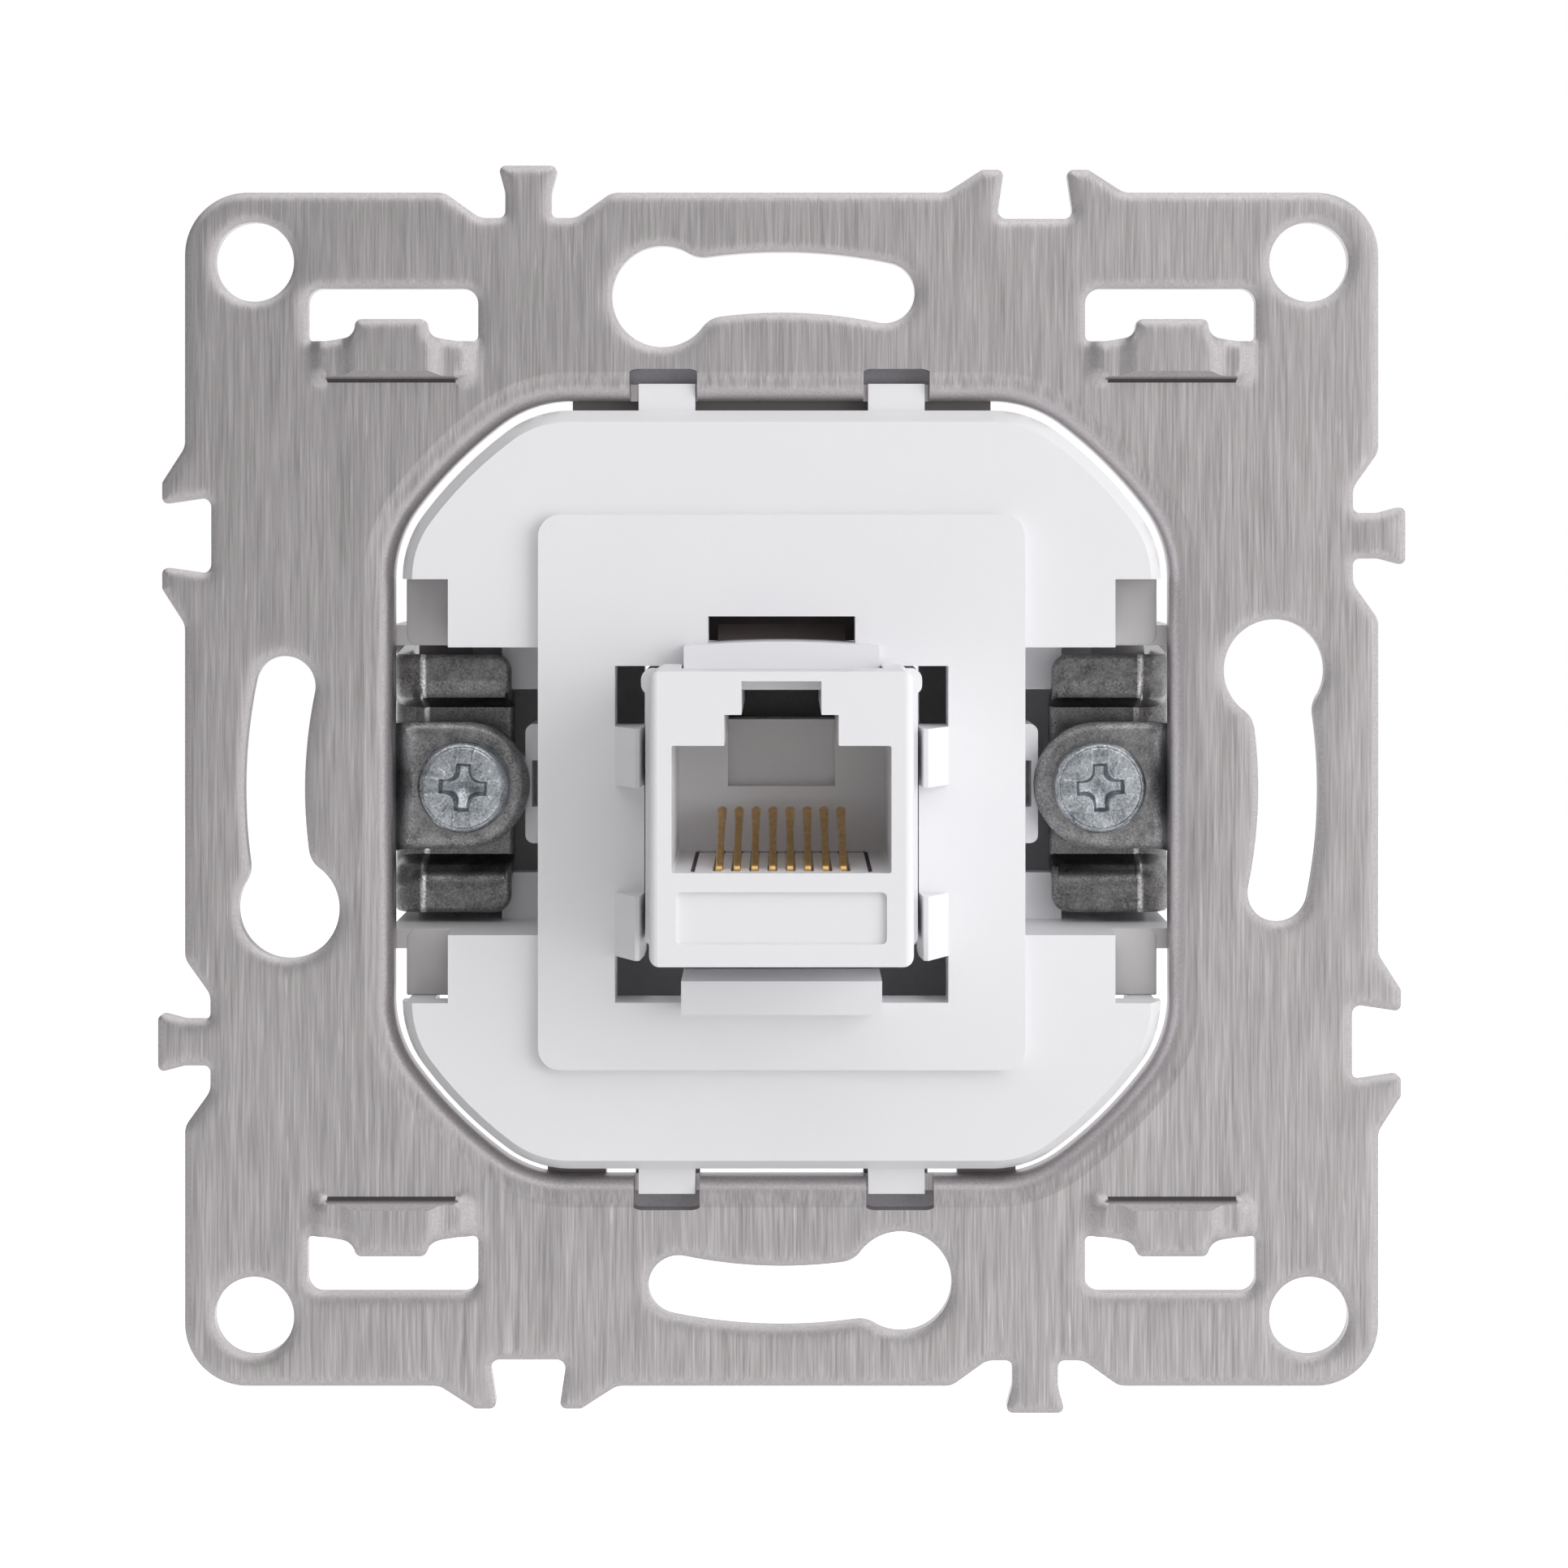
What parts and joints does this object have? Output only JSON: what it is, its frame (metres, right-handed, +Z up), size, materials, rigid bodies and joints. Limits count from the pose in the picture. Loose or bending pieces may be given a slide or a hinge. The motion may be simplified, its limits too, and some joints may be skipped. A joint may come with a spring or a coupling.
{
  "type": "ethernet wall socket",
  "caption": "Flush ethernet wall socket mechanism: square steel support frame, snapped-in white insert, keystone jack and screw-driven spreading claws, without cover plate.",
  "frame": {"origin": "centre of the support frame on its back plane, which lies on the wall", "axes": "+X to the right and +Z up as seen from the front, -Y out of the wall towards the user"},
  "size_m": [0.0738, 0.0383, 0.0738],
  "materials": {
    "stainless": "brushed",
    "white_plastic": "satin",
    "zinc": "zinc plated",
    "zinc_screw": "zinc plated",
    "gold_contact": "gold flashed",
    "tinned_terminal": "tinned",
    "board": "solder mask"
  },
  "bodies": {
    "socket": {"mounting_frame": "stainless", "socket_body": "white_plastic", "claw_bracket_left": "zinc", "claw_bracket_right": "zinc", "jack_housing": "white_plastic", "contact_sled": "white_plastic", "contact_1": "gold_contact", "contact_2": "gold_contact", "contact_3": "gold_contact", "contact_4": "gold_contact", "contact_5": "gold_contact", "contact_6": "gold_contact", "contact_7": "gold_contact", "contact_8": "gold_contact", "jack_board": "board", "terminal_block": "white_plastic", "terminal_1": "tinned_terminal", "terminal_2": "tinned_terminal", "terminal_3": "tinned_terminal", "terminal_4": "tinned_terminal", "terminal_5": "tinned_terminal", "terminal_6": "tinned_terminal", "terminal_7": "tinned_terminal", "terminal_8": "tinned_terminal", "terminal_cap_left": "white_plastic", "terminal_cap_right": "white_plastic"},
    "left_claw": {"claw_left": "zinc"},
    "right_claw": {"claw_right": "zinc"},
    "left_screw": {"claw_screw_left": "zinc_screw"},
    "right_screw": {"claw_screw_right": "zinc_screw"}
  },
  "joints": [
    {"name": "left_screw_turn", "type": "hinge", "parent": "socket", "child": "left_screw", "pos_m": [-0.019, 0.0018, 0], "axis": [0, 1, 0], "range_deg": [0, 720]},
    {"name": "left_claw_swing", "type": "hinge", "parent": "socket", "child": "left_claw", "pos_m": [-0.0164, 0.0061, 0], "axis": [0, 0, 1], "range_deg": [0, 20]},
    {"name": "right_screw_turn", "type": "hinge", "parent": "socket", "child": "right_screw", "pos_m": [0.019, 0.0018, 0], "axis": [0, 1, 0], "range_deg": [0, 720]},
    {"name": "right_claw_swing", "type": "hinge", "parent": "socket", "child": "right_claw", "pos_m": [0.0164, 0.0061, 0], "axis": [0, 0, -1], "range_deg": [0, 20]}
  ],
  "couplings": [
    {"joint": "left_claw_swing", "follows": "left_screw_turn", "ratio": 0.027778},
    {"joint": "right_claw_swing", "follows": "right_screw_turn", "ratio": 0.027778}
  ]
}
